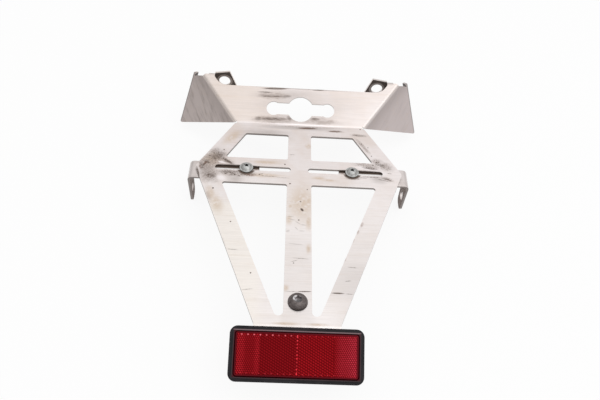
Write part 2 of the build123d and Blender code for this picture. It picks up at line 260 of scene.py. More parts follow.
world = bpy.data.worlds.new("soft_sky")
world.use_nodes = True
scene.world = world
sky = world.node_tree
direction = add(sky, "ShaderNodeTexCoord").outputs["Generated"]
across, _, height = parts(direction)
glow = {"Value": height, "From Min": 0.0, "To Min": sky_low, "To Max": sky_high}
glow = add(sky, "ShaderNodeMapRange", glow).outputs[0]
glow = times(glow, scaled(across, sky_tilt, 1.0))
wire(sky.nodes["Background"], {"Strength": glow, "Color": white})

lamp_data = bpy.data.lights.new("soft_box", "AREA")
lamp_data.shape = "SQUARE"
lamp_data.size = lamp_wide
lamp_data.energy = lamp_power
lamp = bpy.data.objects.new("soft_box", lamp_data)
lamp.location = lamp_place
lamp.rotation_euler = (Vector((0, 0, 0)) - Vector(lamp_place)).to_track_quat("-Z", "Y").to_euler()
scene.collection.objects.link(lamp)
print("lamp", lamp_power, "W over a table at", round(table.location.z / mm, 1), "mm")

# %% [markdown]
# The bracket is brushed stainless sheet that has seen years of road dirt.
# Tan stains sit on the arms and the bar, and grime gathers at the side corners and round the keyhole.
# An image could carry all this, but soft ellipses with ragged edges follow the sheet at any size.
# So each mark is a place on the sheet: across, up, half length, half width and turn, listed by region.

# %% Stains on the sheet
tan_marks = {
    "left upper arm": [(-63, 38, 17, 7, 52), (-65, 36.5, 7, 3.6, -12)],
    "left of the slot": [(-30, 8, 22, 3.2, 0), (-30, -8, 26, 4, 0)],
    "bar below the slots": [(2, -38, 19, 30, 0)],
    "bar": [
        (8, -36, 5, 20, 0), (8, -58, 4, 12, 0), (8, -85, 3, 7, 0), (-8, -56, 4.5, 8, 0),
        (-7, -42, 4, 4, 0), (-9, -121.5, 3.4, 4.4, 0),
    ],
    "left arm": [(-75, -31, 6, 15, 20), (-69, -42, 8, 16, 20)],
    "below the right screw": [(17, -8.6, 9, 2.6, 0), (26, -10.6, 11, 2.2, -2)],
    "bar beside the upper window": [(8, 31, 4, 5, 0)],
    "above the reflector": [(-8, -151, 14, 1.9, 0), (14, -151, 12, 1.7, 0)],
    "left corner": [(-78, 9, 12, 13, 0)],
}
grey_marks = {
    "flange round the keyhole": [(4, 76, 62, 22, 1)],
    "flange over the keyhole": [(-6, 85, 50, 7, 2)],
    "flange under the keyhole": [(4, 63, 56, 4.5, 0)],
    "under the fold": [(0, 55, 58, 4, 1), (-33, 44, 36, 13, 0)],
    "left corner": [(-81, -5, 12, 16, 0)],
    "under the left slot": [(-56, -14, 11, 6, 0)],
    "under the right slot": [(70, -7, 11, 7, -15)],
    "left upper arm": [(-76, 14, 14, 9, 45)],
    "left arm": [(-76.5, -34.5, 3.2, 9, 21), (-60.5, -82, 3, 7, 21)],
}
dirt_zones = {
    "left corner": [(-77, 8, 20, 16, 30), (-78, -10, 14, 12, -30)],
    "left of the slot": [(-82, 0, 10, 12, 0)],
    "left upper arm": [(-77, 18.5, 8, 6, 45)],
    "over the left slot": [(-66, 8, 13, 5, -30)],
    "under the left slot": [(-58, -7, 22, 6.5, -3)],
    "round the left screw": [(-46.9, -7.5, 13, 4.5, 0)],
    "right corner": [(78, 9, 10, 7, -20)],
    "over the right slot": [(62, 9, 18, 5.5, -8)],
    "under the right slot": [(78, -6, 8, 3.4, -20)],
    "right upper arm": [(58.5, 35, 16, 2.6, -58), (70, 15, 8, 5, 0)],
    "over the keyhole": [(-27, 84, 21, 4.2, 1)],
    "under the keyhole": [(-25, 63.2, 28, 5, 1), (20, 63.8, 20, 4.4, 0)],
    "below the fold": [(8, 55.6, 14, 2.4, 2), (34, 53, 11, 2.2, 0)],
    "far right of the fold": [(56, 49, 11, 2.6, -2)],
}
# Pale marks lighten the steel; the one on the fold line is a painted highlight along the bend.
pale_and_highlight_marks = {
    "fold line": [(6, 59.6, 54, 1, 0)],
    "left corner": [(-68, -13, 6.5, 4.6, -24)],
    "over the left slot": [(-69, 5.6, 5, 1.8, -12)],
    "over the right slot": [(57, 6.8, 9, 2.4, -6)],
    "under the right slot": [(58, -5, 9, 1.4, 0)],
}
grime_marks = {
    "smear over the keyhole": [(-28, 83.4, 15, 1, 2), (-35, 86.6, 9, 1.1, 0)],
    "smear beside the eye": [(-14, 83.8, 6, 1.5, 4)],
    "smear under the keyhole": [(-26, 63.8, 18, 1.8, 2)],
    "blot beside the keyhole": [(-40, 63.4, 4.4, 2.6, 0)],
    "blot under the eye": [(-10.5, 65, 3.6, 2.4, -30)],
    "under the keyhole": [(14, 65.2, 6, 1.8, 0)],
    "left corner": [
        (-83.5, 6.4, 4.4, 1.3, -20), (-86.6, 0.5, 2.6, 7, 12), (-73, 13, 10, 6, 35),
        (-77, -11, 6, 4, 0),
    ],
    "over the left slot": [(-66, 8.8, 8.5, 2.2, -36)],
    "under the left slot": [(-62, -5.6, 12, 2.4, -1), (-58, -8.4, 3.6, 2.6, 0)],
    "round the left screw": [(-46.5, -7.2, 9.5, 2.6, 0)],
    "round the right screw": [(46.9, -7, 9, 2.2, 0)],
    "over the right slot": [(64, 6.6, 8.5, 1.7, -10)],
    "under the right slot": [(63, -4.4, 12, 1.1, 0), (56, -5.6, 6, 0.9, -8), (78, -6.2, 5, 1.2, -24)],
    "right corner": [(73.5, 11, 6, 2.6, -10)],
}
rust_marks = {
    "below the fold": [(6, 55.4, 12, 1.4, 2), (33, 53, 8, 1.1, 1)],
    "left corner": [(-83.4, 4, 3, 1.2, 58), (-87.4, -1, 1.4, 4, 14)],
    "under the left screw": [(-43, -8.6, 9, 1.6, 0)],
    "left slot": [(-38.5, 0, 2.8, 2.4, 0)],
    "right slot": [(38.5, 0, 2.8, 2.4, 0)],
    "right arm": [
        (52.1, -58.8, 1.5, 4, -22), (48.4, -66.2, 1.4, 3.4, -22), (43.8, -75.5, 1.3, 3.6, -22),
        (36.5, -94.2, 1.2, 3.4, -22),
    ],
}


def count_of(*tables):
    """How many marks some tables hold."""
    return sum(len(marks) for table in tables for marks in table.values())


print("stains", count_of(tan_marks, grey_marks, dirt_zones, pale_and_highlight_marks, grime_marks, rust_marks))

# %% [markdown]
# Scratches are marks too, only long and narrow. The bold ones show where other parts rubbed,
# the faint ones are older, and the ghosts can hardly be seen. Specks are small and nearly round.

# %% Scratches and specks
bold_lines = {
    "flange edge": [(-25, 90.2, 15, 1, 2), (17, 90.9, 8, 0.7, 2)],
    "below the fold": [(7.5, 55.6, 11, 1, 3), (33.3, 53, 8, 0.8, 1)],
    "left stroke": [(-63.7, 7.1, 6.8, 1.7, -35)],
    "left corner": [
        (-83.6, 3.2, 5.6, 1.4, 62), (-82, 4.9, 3.6, 1.4, -20), (-88.6, -7, 8, 1, -72),
    ],
    "over the left slot": [(-54, 3, 21, 0.5, 0)],
    "over the right slot": [(54, 3, 21, 0.5, 0)],
    "right stroke": [(62, 6, 8, 0.6, -10)],
    "rub mark on the bar": [(4.8, -124.1, 6.4, 0.7, 2)],
    "rub mark on the arm": [(29.8, -124.5, 6.4, 0.85, 0)],
}
faint_lines = {
    "flange edge": [(0, 91, 60, 0.5, 0)],
    "far right of the fold": [(55.5, 48.8, 7, 0.7, 0)],
    "under the fold": [(7, 57, 54, 0.5, 0.6)],
    "left of the bar": [(-27, -8.9, 11, 0.6, -2), (-33.5, -6.6, 3, 0.6, 10), (-14, -10, 8, 0.4, 0)],
    "beside the bar": [(-7, 19, 3.5, 0.5, 0)],
    "right corner": [
        (73, 10.4, 3.6, 0.8, 0), (71, 14.2, 3, 0.7, 25), (74, -7.6, 8, 0.6, -16),
        (80.5, 1, 3.6, 0.6, -4),
    ],
    "bar line": [(2.5, -94.5, 9, 0.5, -3), (-3, -97, 4, 0.4, 20)],
    "bar": [(-5, -124.6, 6.5, 0.4, 2)],
    "left arm line": [(-52, -88.5, 6, 0.55, -3), (-38, -124, 6, 0.4, 8)],
    "right arm line": [(42, -101, 5, 0.5, -4)],
    "right arm stroke": [(38, -113.5, 3, 0.55, 8)],
    "right of the arm's rub mark": [(38, -124.8, 4, 0.5, -2)],
}
ghost_lines = {
    "curves on the bar": [
        (-5.5, -56.2, 4.5, 0.8, -12), (-0.8, -59.2, 4, 0.8, -36), (4, -61.4, 3.4, 0.8, -8),
        (-1.8, -65.2, 2.8, 0.8, -48), (2.6, -67.6, 4, 0.8, 0), (-8.8, -68.2, 2.4, 1.4, 20),
        (-7, -53, 4, 0.9, 4), (-2, -81, 9, 0.7, -5),
    ],
}
speck_marks = {
    "fold end": [(57.8, 57.6, 0.9, 0.9, 0)],
    "left of the bar": [(-13, 6.5, 0.9, 0.9, 0)],
    "bar corner": [(-8, -16.5, 1, 0.9, 0)],
    "left arm": [(-73.5, -25.5, 1, 1.3, 0), (-55.5, -61, 0.9, 0.8, 0), (-36, -109.5, 0.8, 0.8, 0)],
    "bar": [
        (1.3, -36.5, 0.8, 0.8, 0), (2.6, -45.3, 1.4, 2.5, 35), (0, -56.5, 0.9, 0.9, 0),
        (7, -22.5, 0.7, 0.7, 0), (-3.6, -99, 0.7, 0.6, 0),
    ],
    "under the left screw": [(-35, -7.2, 1, 0.8, 0)],
    "left corner": [
        (-79, -10, 1.4, 1, 0), (-80.5, 13, 0.9, 0.7, 30), (-77, 16.5, 0.8, 0.9, 0),
        (-73, 18, 1.1, 0.7, 40), (-70.5, 13.5, 0.8, 0.8, 0), (-75.5, 9.5, 1, 0.8, -20),
        (-68.5, 21.5, 0.8, 0.7, 0),
    ],
    "right upper arm": [(63.5, 33, 0.8, 0.7, 0), (70, 14.5, 1, 0.7, 20), (58, 37.5, 0.8, 0.6, 0)],
    "under the left slot": [
        (-64.5, -8, 1.2, 0.7, 10), (-60.5, -6.6, 0.9, 0.8, 0), (-56.5, -8.8, 1.1, 0.9, -20),
        (-52.5, -10, 0.8, 0.7, 0),
    ],
    "right corner": [
        (66.5, 10.5, 0.9, 0.6, 0), (69.5, 12, 0.8, 0.7, 20), (75.5, 9, 1, 0.6, -20),
        (66, 22, 0.7, 0.7, 0),
    ],
}
print("scratches and specks", count_of(bold_lines, faint_lines, ghost_lines, speck_marks))

# %% [markdown]
# Now the steel itself, in layers. Each layer lays a tint over the colour so far, and a mask says where.
# Masks come from the place and the facing of the sheet, so they hold in every view.
# The brushing runs straight across the sheet, so the grain is noise that is stretched that way.

# %% Masks of the sheet
def covered(spot, ragged, table, soft, raggedness):
    """Where any mark of a table covers the sheet, as soft ellipses with ragged edges."""
    wander = scaled(ragged, raggedness, -raggedness / 2)
    total = None
    for across, up, long, wide, turn in sum(table.values(), []):
        place = Vector((across, up, 0))
        lengthways = Vector((cos(radians(turn)), sin(radians(turn)), 0)) / long
        sideways = Vector((-sin(radians(turn)), cos(radians(turn)), 0)) / wide
        local = joined(dotted(spot, lengthways), dotted(spot, sideways))
        reach = away(local, (place.dot(lengthways), place.dot(sideways), 0))
        cover = step(maths("ADD", reach, wander), 1, 1 - soft)
        total = cover if total is None else most(total, cover)
    return total


steel_finish, steel_shader, spot, facing = new_finish("worn_stainless")
steel_nodes = steel_finish.node_tree.nodes
x, y, z = parts(spot)
face_x, face_y, face_z = parts(facing)
side = maths("ABSOLUTE", x)
face_out = times(face_x, maths("SIGN", x))
front = step(face_z, 0.05, 0.25)
grain = noise(stretched(spot, (0.03, 2.2, 2.2)), 1, 5)
bands = noise(stretched(spot, (0.012, 0.3, 0.3)), 1, 4)
cloud = noise(spot, 0.035, 3)
mottle = noise(spot, 0.2, 8, 0.7)
fleck = noise(spot, 0.7, 6, 0.75)
streaks = noise(stretched(spot, (0.09, 0.5, 0.5)), 1, 8, 0.75)
print("masks of the sheet", len(steel_nodes), "nodes")

# %% [markdown]
# Clean steel isn't one colour. It is warm in clouds and paler to the right. The lower end carries painted
# light, paler where the plate mirrors more of the sky, and the flange painted shade, greyer because it
# sees less of the sky.

# %% Clean steel
steel_bright = (0.915, 0.848, 0.835)
steel_warm = (0.85, 0.755, 0.712)
steel_pale = (1.0, 0.935, 0.93)
steel_grey = (0.53, 0.475, 0.45)
steel_cream = (0.99, 0.93, 0.865)
steel_lit_low = (0.98, 0.935, 0.915)
flange_shade_grey = (0.66, 0.60, 0.575)
flange_cream = (0.82, 0.70, 0.61)
back_colour = (0.46, 0.43, 0.41)
tan_colour = (0.62, 0.46, 0.31)
plate_top = 57.0

colour = tint(step(cloud, 0.35, 0.7), steel_bright, steel_warm)
# painted light: the lower end of the plate is paler, where it mirrors more of the sky
lit_low_end = step(scaled(cloud, 30, y), 40, -50)
colour = tint(times(lit_low_end, 0.6), colour, steel_lit_low)
right_side = times(step(x, 30, 75), step(y, -90, -40))
colour = tint(times(right_side, step(y, 50, 20), 0.4), colour, steel_pale)
left_arm = times(step(x, -22, -34), step(y, -32, -48))
colour = tint(times(left_arm, 0.7), colour, steel_cream)
right_arm = times(step(x, 18, 45), step(y, -30, -105))
colour = tint(times(right_arm, 0.2), colour, steel_grey)
right_low = times(step(x, 14, 24), step(y, -92, -106), step(y, -134, -122))
colour = tint(times(right_low, 0.24), colour, steel_grey)
# painted shade: the flange is tinted greyer, because it sees less of the sky
flange = step(y, plate_top + 2.5, plate_top + 4.5)
colour = tint(times(flange, 0.45), colour, flange_shade_grey)
colour = tint(times(flange, step(x, -15, -60), 0.4), colour, flange_cream)
colour = tint(times(flange, step(x, 15, 60), 0.2), colour, flange_shade_grey)
bar_low = times(step(side, 15, 10), step(y, -65, -85))
colour = tint(times(bar_low, 0.14), colour, steel_grey)
colour = tint(times(step(grain, 0.35, 0.75), 0.22), colour, back_colour)
colour = tint(times(step(bands, 0.5, 0.8), 0.16), colour, tan_colour)
colour = tint(times(step(mottle, 0.5, 0.85), 0.14), colour, steel_grey)
print("clean steel", len(steel_nodes), "nodes")

# %% [markdown]
# Stains let the steel show through. Dirt breaks up into flecks on the plate and streaks on the flange.
# Below each slot screw lies a dark ring, painted shadow of the head together with dirt.

# %% Stains and dirt
zone_colour = (0.33, 0.265, 0.235)
grime_and_shade_colour = (0.115, 0.080, 0.062)
rust_colour = (0.22, 0.10, 0.055)
screw_across = 46.9
screw_ring = 8.1

grey = covered(spot, bands, grey_marks, 0.95, 0.9)
colour = tint(times(grey, step(streaks, 0.1, 0.55), 0.7), colour, steel_grey)
tan = covered(spot, mottle, tan_marks, 0.9, 1.6)
tan = times(tan, step(mottle, 0.28, 0.6), 0.66)
colour = tint(tan, colour, tan_colour)
pattern = times(flange, maths("SUBTRACT", streaks, fleck))
pattern = step(maths("ADD", fleck, pattern), 0.4, 0.62)
broken = scaled(pattern, 0.65, 0.35)
zones = times(covered(spot, mottle, dirt_zones, 0.8, 1), broken)
colour = tint(times(zones, front, 0.88), colour, zone_colour)
# pale patches, and a painted highlight along the fold
pale_and_highlight = covered(spot, streaks, pale_and_highlight_marks, 0.8, 0.7)
colour = tint(times(pale_and_highlight, front, 0.9), colour, steel_pale)

grime = times(covered(spot, streaks, grime_marks, 0.7, 1), broken, front)
bold = covered(spot, streaks, bold_lines, 0.5, 0.5)
bold = times(bold, scaled(broken, 0.5, 0.5))
faint = times(covered(spot, streaks, faint_lines, 0.7, 0.8), broken)
specks = covered(spot, mottle, speck_marks, 0.6, 0.8)
ghosts = covered(spot, mottle, ghost_lines, 0.8, 0.7)
lines = most(bold, specks, times(faint, 0.85), times(ghosts, 0.24))
dirt_and_shadow = most(times(grime, 0.8), times(lines, front, 0.97))
# painted shadow and dirt: a dark ring below each slot screw's head
from_screw = away(joined(side, y), (screw_across, 0, 0))
screw_shadow_and_dirt = step(scaled(fleck, 1.5, from_screw), screw_ring + 1.6, screw_ring)
screw_shadow_and_dirt = times(screw_shadow_and_dirt, front, step(y, 0, -4))
dirt_and_shadow = most(dirt_and_shadow, times(screw_shadow_and_dirt, 0.95))
colour = tint(dirt_and_shadow, colour, grime_and_shade_colour)
rust = times(covered(spot, mottle, rust_marks, 0.9, 1.2), front, broken, 0.7)
colour = tint(rust, colour, rust_colour)
print("stains and dirt", len(steel_nodes), "nodes")

# %% [markdown]
# The strips behind the slots look pale, with a dark shadow along the upper edge. The back was never
# polished. The wings carry painted shade, greyer than the plate where they turn away from the light and
# the left one darker than the right. They are wiped along their length and darker near the fold, so their
# noise is stretched in the wing's own directions.

# %% Strips, back and wings
strip_pale = (1.0, 0.98, 0.965)
strip_face = -1.5
wing_left_shade = (0.54, 0.475, 0.455)
wing_right_shade = (0.62, 0.55, 0.54)
wing_dark = (0.26, 0.22, 0.205)
wing_across = (-0.731, -0.212, 0.649)
wing_along = (-0.375, -0.671, -0.64)
fold_foot = (61.0, 59.3)
fold_lean = (33.5, 40.1)
fold_long = sqrt(fold_lean[0] ** 2 + fold_lean[1] ** 2)

behind = times(step(z, strip_face, strip_face - 0.4), step(side, 86, 82))
behind = times(behind, front, step(y, 30, 20))
slot_dark = scaled(step(x, -1, 1), -0.5, y)
shaded = times(behind, step(slot_dark, -0.2, 0.9))
colour = tint(times(behind, step(side, 44, 50)), colour, strip_pale)
colour = tint(shaded, colour, grime_and_shade_colour)
strip_end = times(step(z, -0.5, -1.2), step(side, 87.5, 90))
strip_end = times(strip_end, front, scaled(mottle, 0.5, 0.2))
colour = tint(times(strip_end, step(y, 40, 30)), colour, steel_grey)
back = step(face_z, -0.05, -0.3)
colour = tint(times(back, scaled(mottle, 0.4, 0.45)), colour, back_colour)

over = times(maths("SUBTRACT", side, fold_foot[0]), fold_lean[1] / fold_long)
under = times(maths("SUBTRACT", y, fold_foot[1]), fold_lean[0] / fold_long)
past_fold = maths("SUBTRACT", over, under)
wing = times(step(past_fold, 0.4, 1.6), step(y, plate_top - 1, plate_top + 3))
one_side = joined(side, y, z)
wing_u = times(dotted(one_side, wing_across), 0.3)
wing_v = times(dotted(one_side, wing_along), 0.045)
wipes = noise(joined(wing_u, wing_v, times(x, 0.02)), 1, 6, 0.65)
# painted shade: the wings are greyer than the plate where they turn away from the light, the left darker
# than the right
wing_shade_tone = tint(step(x, -1, 1), wing_left_shade, wing_right_shade)
left_wing = scaled(step(x, 1, -1), 0.5, 0.15)
wing_shade_tone = tint(times(step(wipes, 0.45, 0.75), left_wing), wing_shade_tone, wing_dark)
wing_shade_tone = tint(times(step(past_fold, 9, 1.5), 0.3), wing_shade_tone, wing_dark)
wing_shade_tone = tint(times(step(mottle, 0.5, 0.8), 0.22), wing_shade_tone, tan_colour)
colour = tint(times(wing, 0.96), colour, wing_shade_tone)
print("strips, back and wings", len(steel_nodes), "nodes")

# %% [markdown]
# Lips, lugs, ears and cut edges are darkened. The lips and ears carry painted shade, the ears with a
# paler ring round the hole. The lugs carry painted shade and dirt, and the plate's cut edges painted
# shade.

# %% Lips, lugs, ears and edges
lip_inner_shade = (0.06, 0.052, 0.05)
lip_outer_shade = (0.21, 0.185, 0.175)
lip_inside = (-0.85, -0.51, -0.11)
lug_shade_and_dirt = (0.20, 0.155, 0.135)
ear_shade_colour = (0.095, 0.078, 0.070)
ear_front = 100.4
ear_hole = (75.2, 13.8)
washer_ring = 7.6
edge_shade_colour = (0.14, 0.12, 0.11)

facing_out = joined(face_out, face_y, face_z)
# painted shade: the lips are darkened by their facing, most on their inner faces
lip = times(step(side, 96, 99), step(y, 76, 80))
lip_outer = times(lip, step(face_out, 0.68, 0.85), 0.85)
colour = tint(times(lip_outer, scaled(mottle, 0.5, 0.7)), colour, lip_outer_shade)
lip_inner = times(lip, step(dotted(facing_out, lip_inside), 0.6, 0.85))
colour = tint(times(lip_inner, 0.9), colour, lip_inner_shade)
# painted shade and dirt: the lugs, facing sideways under the plate, are a dull brown
lug = times(step(z, -4, -8), step(maths("ABSOLUTE", face_x), 0.5, 0.8), step(y, 40, 30))
colour = tint(times(lug, 0.9), colour, lug_shade_and_dirt)

# painted shade: the ears behind the flange are dark, with a paler ring round the hole
ear = times(step(y, ear_front, ear_front + 2), step(side, 93, 89))
ear = times(ear, step(maths("ABSOLUTE", face_y), 0.5, 0.8))
from_hole = away(joined(side, z), (*ear_hole, 0))
ring = step(maths("ADD", from_hole, mottle), washer_ring + 0.9, washer_ring + 0.1)
paler_ring = maths("SUBTRACT", 1, times(ring, 0.3))
colour = tint(times(ear, paler_ring), colour, ear_shade_colour)
# painted shade: the plate's cut edges, the upright faces, are darkened
edge_shade = step(maths("ABSOLUTE", face_z), 0.6, 0.3)
edge_shade = times(edge_shade, step(y, plate_top + 1, plate_top), maths("SUBTRACT", 1, lug))
colour = tint(times(edge_shade, 0.85), colour, edge_shade_colour)
print("lips, lugs, ears and edges", len(steel_nodes), "nodes")

# %% [markdown]
# Steel is as bright as what it reflects, so it is all metal where clean. Dirt, with the painted shadow
# below the screws and along the strips, is less metallic and rougher, and it shines less, as do the lugs
# with their painted shade and dirt, because dark metal would still glint at a low angle.

# %% Worn stainless
dull = maths("ADD", times(most(dirt_and_shadow, shaded), 0.75), times(tan, 0.5), clamp=True)
dull = most(dull, lug)
shine = scaled(most(lug, dirt_and_shadow), -0.4, 0.5)
metal = maths("SUBTRACT", 1, dull)
rough = scaled(grain, 0.14, 0.3)
rough = scaled(dull, 0.3, rough)
rough = scaled(most(wing, ear), 0.12, rough)
steel = {"Base Color": colour, "Metallic": metal, "Roughness": rough, "Specular IOR Level": shine}
wire(steel_shader, steel)
bumped(steel_shader, grain, 0.03 * mm, 0.35)
print("worn stainless", len(steel_nodes), "nodes")

# %% [markdown]
# The sheet pieces keep their solids as they are. A punched or laser-cut edge is never razor sharp,
# so modifiers ease it: the seams of the imported mesh are welded, flat facets are joined,
# and each sharp edge gets a small bevel that catches the light. The bends come as narrow facets,
# so a small geometry group shades them smooth, and the normals lean on the large flat panels.

# %% Sheet pieces
sharp_turn = radians(34)
flat_turn = radians(0.5)
seam_gap = 0.001 * mm
sheet_ease = 0.22 * mm


def smooth_bends(limit):
    """A geometry group that shades bends smooth and keeps the sharp edges sharp."""
    group = bpy.data.node_groups.new("smooth_bends", "GeometryNodeTree")
    group.interface.new_socket("Geometry", in_out="INPUT", socket_type="NodeSocketGeometry")
    group.interface.new_socket("Geometry", in_out="OUTPUT", socket_type="NodeSocketGeometry")
    shape = add(group, "NodeGroupInput").outputs[0]
    sockets = {"Geometry": shape, "Name": "custom_normal"}
    shape = add(group, "GeometryNodeRemoveAttribute", sockets).outputs[0]
    sockets = {"Geometry": shape, "Shade Smooth": True}
    shape = add(group, "GeometryNodeSetShadeSmooth", sockets, domain="FACE").outputs[0]
    angle = add(group, "GeometryNodeInputMeshEdgeAngle").outputs["Unsigned Angle"]
    gentle = add(group, "FunctionNodeCompare", {0: angle, 1: limit}, operation="LESS_EQUAL").outputs[0]
    sockets = {"Geometry": shape, "Shade Smooth": gentle}
    shape = add(group, "GeometryNodeSetShadeSmooth", sockets, domain="EDGE").outputs[0]
    add(group, "NodeGroupOutput", {0: shape})
    return group


smooth_group = smooth_bends(sharp_turn)


def ease_edges(node, width):
    """Rounds the sharp edges of a solid by modifiers, leaving its mesh alone."""
    weld = node.modifiers.new("join_seams", "WELD")
    weld.merge_threshold = seam_gap
    flat = node.modifiers.new("join_facets", "DECIMATE")
    flat.decimate_type = "DISSOLVE"
    flat.angle_limit = flat_turn
    smooth = node.modifiers.new("smooth_bends", "NODES")
    smooth.node_group = smooth_group
    bevel = node.modifiers.new("eased_edges", "BEVEL")
    bevel.width = width
    bevel.segments = 2
    bevel.limit_method = "ANGLE"
    bevel.angle_limit = sharp_turn
    normals = node.modifiers.new("flat_panels", "WEIGHTED_NORMAL")
    normals.weight = 100
    normals.keep_sharp = True


def dress(node, finish):
    """Gives a solid its finish."""
    for slot in nodes[node].material_slots:
        slot.material = finish


for sheet_piece in ("main_bracket", "indicator_bracket_left", "indicator_bracket_right"):
    dress(sheet_piece, steel_finish)
    ease_edges(nodes[sheet_piece], sheet_ease)
print("sheet pieces dressed")

# %% [markdown]
# Screws, nuts and washers are turned and rolled pieces, so they are skinned from rings of points.
# A ring may be round, or a hexagon for a socket or a nut, and a thread is a ring whose radius rises and
# falls as it climbs. A screw modifier could make the thread too, but rings keep head, thread and socket
# in one closed skin.

# %% Turned pieces
ring_points = 72
turns = [tau * i / ring_points for i in range(ring_points)]
crease = radians(35)
thread_rows = 8
thread_share = 0.55
thread_lead = 0.4 * mm


def ring_of(reaches, height):
    """A ring of points, each at its own reach from the piece's axis."""
    return [(reach * cos(a), reach * sin(a), height) for reach, a in zip(reaches, turns)]


def round_ring(radius, height):
    """A circle about the piece's axis."""
    return ring_of([radius] * ring_points, height)


def hex_reach(angle, flats):
    """How far a hexagon reaches at an angle."""
    return flats / 2 / cos((angle + pi / 6) % (pi / 3) - pi / 6)


def hex_ring(flats, height):
    """A hexagon about the piece's axis."""
    return ring_of([hex_reach(a, flats) for a in turns], height)


def thread_rings(radius, pitch, low, high):
    """The rings of a screw thread, from low to high, fading out at both ends."""
    rows = max(thread_rows, round((high - low) / pitch * thread_rows))
    rings = []
    for row in range(rows + 1):
        height = low + (high - low) * row / rows
        fade = min(1.0, (height - low) / pitch, (high - height) / pitch)
        deep = thread_share * pitch * fade
        phases = [(height / pitch - a / tau) % 1.0 for a in turns]
        rings.append(ring_of([radius - deep * (1 - abs(2 * phase - 1)) for phase in phases], height))
    return rings


def new_piece(name, form, finish):
    """Turns a form into a piece of the scene."""
    mesh = bpy.data.meshes.new(name)
    form.to_mesh(mesh)
    form.free()
    mesh.materials.append(finish)
    piece = bpy.data.objects.new(name, mesh)
    scene.collection.objects.link(piece)
    return piece


def skin(name, rings, place, finish, replaced, ends=True):
    """Skins the rings into one closed piece that stands for a solid."""
    form = bmesh.new()
    rows = [[form.verts.new(place @ Vector(p)) for p in ring] for ring in rings]
    pairs = list(zip(rows, rows[1:]))
    if not ends:
        pairs.append((rows[-1], rows[0]))
    for lower, upper in pairs:
        for i in range(ring_points):
            j = (i + 1) % ring_points
            form.faces.new((lower[i], lower[j], upper[j], upper[i]))
    if ends:
        for row in (rows[0], rows[-1]):
            middle = form.verts.new(sum((v.co for v in row), Vector()) / ring_points)
            for i in range(ring_points):
                form.faces.new((row[i], row[(i + 1) % ring_points], middle))
    bmesh.ops.recalc_face_normals(form, faces=form.faces)
    for face in form.faces:
        face.smooth = True
    piece = new_piece(name, form, finish)
    piece.data.set_sharp_from_angle(angle=crease)
    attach(piece, "root")
    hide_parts(replaced)


print("rings of", ring_points, "points")

# %% [markdown]
# The fasteners are zinc plated, and the dome-headed screw on the bar is blackened and worn. Zinc is a
# dull grey metal with a faint cloud of oxide. Each head carries painted shade and grime at its foot and
# painted light and shade in its socket, and the dark screw has a painted highlight over bare metal beside
# its socket.

# %% Zinc and blackened steel
shade_and_grime = (0.012, 0.010, 0.010)


def plated(name, clean, aged, roughness, key, worn=None, glint_place=None, glint_reach=0.0):
    """A plated fastener, clouded with age, with painted shade and grime at its foot, painted light and
    shade in its socket, and perhaps a painted highlight over rubbed bare metal.
    """
    material, shader, spot, facing = new_finish(name)
    cloud = noise(spot, 0.5, 5.0)
    fine = noise(spot, 6.0, 3.0)
    colour = tint(step(cloud, 0.35, 0.7), clean, aged)
    x, y, height = parts(spot)
    upright = step(parts(facing)["Z"], 0.7, 0.4)
    foot = times(step(height, 1.3, 0.9), step(height, -1.3, -0.9))
    # painted shade and grime: the upright side of each head's foot is near black
    colour = tint(times(foot, upright), colour, shade_and_grime)
    from_key = away(joined(maths("ABSOLUTE", x), y), (key["across"], key["up"], 0))
    socket = step(from_key, key["reach"] + 0.15, key["reach"] - 0.1)
    socket = times(socket, step(height, key["top"], key["top"] - 0.3), step(height, 0.5, 1.0))
    # painted shade in the socket: the walls, and the floor next to the far wall, are darkened
    far_side_shade = step(maths("SUBTRACT", y, key["up"]), 0.55, 0.85)
    wall = times(socket, most(upright, far_side_shade))
    colour = tint(times(wall, 0.95), colour, key["wall"])
    floor = maths("SUBTRACT", socket, wall)
    colour = tint(floor, colour, key["floor"])
    if worn:
        # painted highlight over bare metal: a bright patch beside the socket, laid on crown and walls
        # alike
        rubbed_glint = step(maths("ADD", away(spot, glint_place), cloud), glint_reach + 0.9, glint_reach)
        colour = tint(rubbed_glint, colour, worn)
    metal = maths("SUBTRACT", 1.0, floor)
    rough = scaled(cloud, 0.25, roughness)
    wire(shader, {"Base Color": colour, "Metallic": metal, "Roughness": rough})
    bumped(shader, fine, 0.02 * mm, 0.3)
    return material


# Socket colours are painted: near-black walls of painted shade and a pale floor of painted light for the
# slot screws, grey walls and a darker floor for the dome.
slot_key = {
    "across": screw_across, "up": 0, "top": 3.1, "reach": 2.0,
    "wall": shade_and_grime, "floor": (0.95, 0.95, 0.93),
}
dome_key = {
    "across": 0, "up": -133.2, "top": 4.9, "reach": 3.1,
    "wall": (0.30, 0.28, 0.28), "floor": (0.16, 0.15, 0.15),
}
zinc_finish = plated("dull_zinc", (0.56, 0.57, 0.56), (0.36, 0.35, 0.34), 0.26, slot_key)
dark_finish = plated(
    "blackened_steel", (0.218, 0.19, 0.184), (0.134, 0.112, 0.107), 0.34, dome_key,
    worn=(0.9, 0.88, 0.89), glint_place=(-1.7, -132.6, 4.4), glint_reach=2.1,
)
print("fastener finishes ready")

# %% [markdown]
# Each screw is placed from its solid's box: the middle of the box gives the axis, and its bottom the
# length. The slot screws have a flanged button head, and the bar's screw a plain dome.
# The hexagon socket has a lead-in cone at its mouth, as a forged socket has.

# %% Screws on the plate
tip_ease = 0.6 * mm
dome_steps = 9


